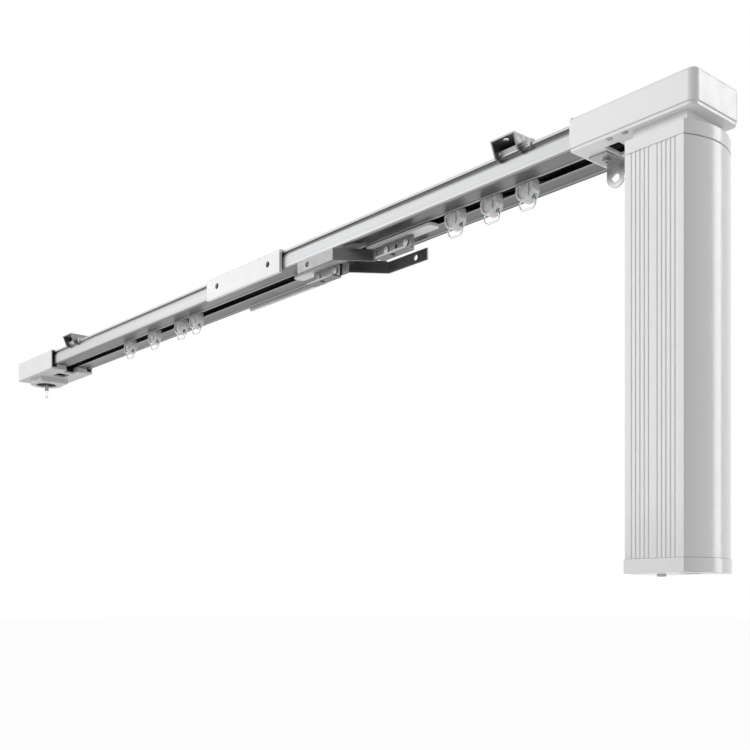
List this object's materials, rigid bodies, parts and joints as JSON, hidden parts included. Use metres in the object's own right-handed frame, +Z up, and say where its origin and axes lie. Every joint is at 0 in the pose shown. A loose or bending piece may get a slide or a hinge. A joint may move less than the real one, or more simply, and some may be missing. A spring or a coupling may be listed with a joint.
{
  "type": "electric curtain track",
  "caption": "Ceiling-hung electric curtain track: slotted rail, hanging motor, belt-driven carriers that meet with overlap arms, and sliding runners with wire eyes.",
  "frame": {"origin": "on the ceiling plane, midway between the two bracket screw holes", "axes": "+X along the rail towards the motor, +Y to the rear, away from the ribbed face that is viewed, +Z up"},
  "size_m": [1.0179, 0.0623, 0.3091],
  "materials": {
    "aluminium": "satin extruded",
    "white_plastic": "matte moulded",
    "dark_steel": "dark coating",
    "light_plastic": "matte moulded",
    "shell_plastic": "semi-gloss moulded",
    "painted_tube": "fine powder coat",
    "satin_steel": "satin",
    "zinc_steel": "spangled zinc",
    "arm_steel": "zinc plated",
    "screw_steel": "plated",
    "black_plastic": "matte moulded",
    "belt_rubber": "matte",
    "brass": "turned",
    "can_steel": "plated",
    "board": "solder mask",
    "button_plastic": "matte moulded",
    "wheel_plastic": "moulded",
    "runner_plastic": "translucent moulded",
    "wire": "bright wire"
  },
  "bodies": {
    "track": {"rail_left": "aluminium", "rail_right": "aluminium", "splice_saddle": "white_plastic", "splice_screws": "screw_steel", "bracket_left": "dark_steel", "bracket_right": "dark_steel", "latch_left": "light_plastic", "latch_right": "light_plastic", "head_cover": "shell_plastic", "head_base": "shell_plastic", "head_screws": "screw_steel", "end_hook": "satin_steel", "hook_screw": "screw_steel", "return_cap": "white_plastic", "return_base": "white_plastic", "return_axle": "satin_steel", "axle_clip": "screw_steel", "motor_neck": "shell_plastic", "motor_top_cap": "shell_plastic", "motor_tube": "painted_tube", "motor_bottom_cap": "shell_plastic", "cap_screws": "screw_steel", "gear_motor": "can_steel", "gearbox": "can_steel", "control_board": "board", "power_inlet": "black_plastic", "shaft_bush": "brass", "belt": "belt_rubber"},
    "carrier_left": {"slider_left": "white_plastic", "hanger_left": "zinc_steel", "arm_left": "arm_steel", "rivets_left": "satin_steel"},
    "carrier_right": {"slider_right": "white_plastic", "hanger_right": "zinc_steel", "arm_right": "arm_steel", "rivets_right": "satin_steel"},
    "drive": {"drive_shaft": "satin_steel", "drive_pulley": "black_plastic"},
    "return_pulley": {"return_pulley": "black_plastic"},
    "button": {"set_button": "button_plastic"},
    "return_eye": {"return_eye": "wire"},
    "wheels_left_a": {"wheels_left_a": "wheel_plastic"},
    "wheels_left_b": {"wheels_left_b": "wheel_plastic"},
    "wheels_right_a": {"wheels_right_a": "wheel_plastic"},
    "wheels_right_b": {"wheels_right_b": "wheel_plastic"},
    "runner_1": {"runner_1": "runner_plastic"},
    "eye_1": {"eye_1": "wire"},
    "runner_2": {"runner_2": "runner_plastic"},
    "eye_2": {"eye_2": "wire"},
    "runner_3": {"runner_3": "runner_plastic"},
    "eye_3": {"eye_3": "wire"},
    "runner_4": {"runner_4": "runner_plastic"},
    "eye_4": {"eye_4": "wire"},
    "runner_5": {"runner_5": "runner_plastic"},
    "eye_5": {"eye_5": "wire"},
    "runner_6": {"runner_6": "runner_plastic"},
    "eye_6": {"eye_6": "wire"},
    "runner_7": {"runner_7": "runner_plastic"},
    "eye_7": {"eye_7": "wire"}
  },
  "joints": [
    {"name": "carrier_left_slide", "type": "slide", "parent": "track", "child": "carrier_left", "axis": [-1, 0, 0], "range_m": [0, 0.1]},
    {"name": "carrier_right_slide", "type": "slide", "parent": "track", "child": "carrier_right", "axis": [1, 0, 0], "range_m": [0, 0.1]},
    {"name": "drive_turn", "type": "hinge", "parent": "track", "child": "drive", "pos_m": [0.474, 0.0275, -0.018], "axis": [0, 0, -1], "range_deg": [0, 309]},
    {"name": "return_pulley_turn", "type": "hinge", "parent": "track", "child": "return_pulley", "pos_m": [-0.487, 0.0275, -0.018], "axis": [0, 0, -1], "range_deg": [0, 309]},
    {"name": "wheels_left_a_roll", "type": "hinge", "parent": "carrier_left", "child": "wheels_left_a", "pos_m": [0.141, 0.0275, -0.0187], "axis": [0, -1, 0], "range_deg": [0, 1433]},
    {"name": "wheels_left_b_roll", "type": "hinge", "parent": "carrier_left", "child": "wheels_left_b", "pos_m": [0.093, 0.0275, -0.0187], "axis": [0, -1, 0], "range_deg": [0, 1433]},
    {"name": "wheels_right_a_roll", "type": "hinge", "parent": "carrier_right", "child": "wheels_right_a", "pos_m": [0.187, 0.0275, -0.0187], "axis": [0, 1, 0], "range_deg": [0, 1433]},
    {"name": "wheels_right_b_roll", "type": "hinge", "parent": "carrier_right", "child": "wheels_right_b", "pos_m": [0.235, 0.0275, -0.0187], "axis": [0, 1, 0], "range_deg": [0, 1433]},
    {"name": "runner_1_slide", "type": "slide", "parent": "track", "child": "runner_1", "axis": [-1, 0, 0], "range_m": [0, 0.039]},
    {"name": "eye_1_swing", "type": "hinge", "parent": "runner_1", "child": "eye_1", "pos_m": [-0.252, 0.0275, -0.034], "axis": [1, 0, 0], "range_deg": [-30, 30]},
    {"name": "runner_2_slide", "type": "slide", "parent": "track", "child": "runner_2", "axis": [-1, 0, 0], "range_m": [0, 0.0484]},
    {"name": "eye_2_swing", "type": "hinge", "parent": "runner_2", "child": "eye_2", "pos_m": [-0.195, 0.0275, -0.034], "axis": [1, 0, 0], "range_deg": [-30, 30]},
    {"name": "runner_3_slide", "type": "slide", "parent": "track", "child": "runner_3", "axis": [-1, 0, 0], "range_m": [0, 0.058]},
    {"name": "eye_3_swing", "type": "hinge", "parent": "runner_3", "child": "eye_3", "pos_m": [-0.137, 0.0275, -0.034], "axis": [1, 0, 0], "range_deg": [-30, 30]},
    {"name": "runner_4_slide", "type": "slide", "parent": "track", "child": "runner_4", "axis": [-1, 0, 0], "range_m": [0, 0.0632]},
    {"name": "eye_4_swing", "type": "hinge", "parent": "runner_4", "child": "eye_4", "pos_m": [-0.106, 0.0275, -0.034], "axis": [1, 0, 0], "range_deg": [-30, 30]},
    {"name": "runner_5_slide", "type": "slide", "parent": "track", "child": "runner_5", "axis": [1, 0, 0], "range_m": [0, 0.0867]},
    {"name": "eye_5_swing", "type": "hinge", "parent": "runner_5", "child": "eye_5", "pos_m": [0.277, 0.0275, -0.034], "axis": [1, 0, 0], "range_deg": [-30, 30]},
    {"name": "runner_6_slide", "type": "slide", "parent": "track", "child": "runner_6", "axis": [1, 0, 0], "range_m": [0, 0.0661]},
    {"name": "eye_6_swing", "type": "hinge", "parent": "runner_6", "child": "eye_6", "pos_m": [0.315, 0.0275, -0.034], "axis": [1, 0, 0], "range_deg": [-30, 30]},
    {"name": "runner_7_slide", "type": "slide", "parent": "track", "child": "runner_7", "axis": [1, 0, 0], "range_m": [0, 0.0485]},
    {"name": "eye_7_swing", "type": "hinge", "parent": "runner_7", "child": "eye_7", "pos_m": [0.35, 0.0275, -0.034], "axis": [1, 0, 0], "range_deg": [-30, 30]},
    {"name": "return_eye_swing", "type": "hinge", "parent": "track", "child": "return_eye", "pos_m": [-0.487, 0.0275, -0.041], "axis": [1, 0, 0], "range_deg": [-30, 30]},
    {"name": "set_button_press", "type": "slide", "parent": "track", "child": "button", "axis": [0, 0, 1], "range_m": [0, 0.0012], "stiffness_N_per_m": 300, "springref_m": -0.0005}
  ],
  "couplings": [
    {"joint": "carrier_right_slide", "follows": "carrier_left_slide", "ratio": 1},
    {"joint": "drive_turn", "follows": "carrier_left_slide", "rad_per_m": 53.908},
    {"joint": "return_pulley_turn", "follows": "carrier_left_slide", "rad_per_m": 53.908},
    {"joint": "wheels_left_a_roll", "follows": "carrier_left_slide", "rad_per_m": 250},
    {"joint": "wheels_left_b_roll", "follows": "carrier_left_slide", "rad_per_m": 250},
    {"joint": "wheels_right_a_roll", "follows": "carrier_left_slide", "rad_per_m": 250},
    {"joint": "wheels_right_b_roll", "follows": "carrier_left_slide", "rad_per_m": 250},
    {"joint": "runner_1_slide", "follows": "carrier_left_slide", "ratio": 0.389},
    {"joint": "runner_2_slide", "follows": "carrier_left_slide", "ratio": 0.483},
    {"joint": "runner_3_slide", "follows": "carrier_left_slide", "ratio": 0.579},
    {"joint": "runner_4_slide", "follows": "carrier_left_slide", "ratio": 0.631},
    {"joint": "runner_5_slide", "follows": "carrier_left_slide", "ratio": 0.866},
    {"joint": "runner_6_slide", "follows": "carrier_left_slide", "ratio": 0.66},
    {"joint": "runner_7_slide", "follows": "carrier_left_slide", "ratio": 0.484}
  ]
}
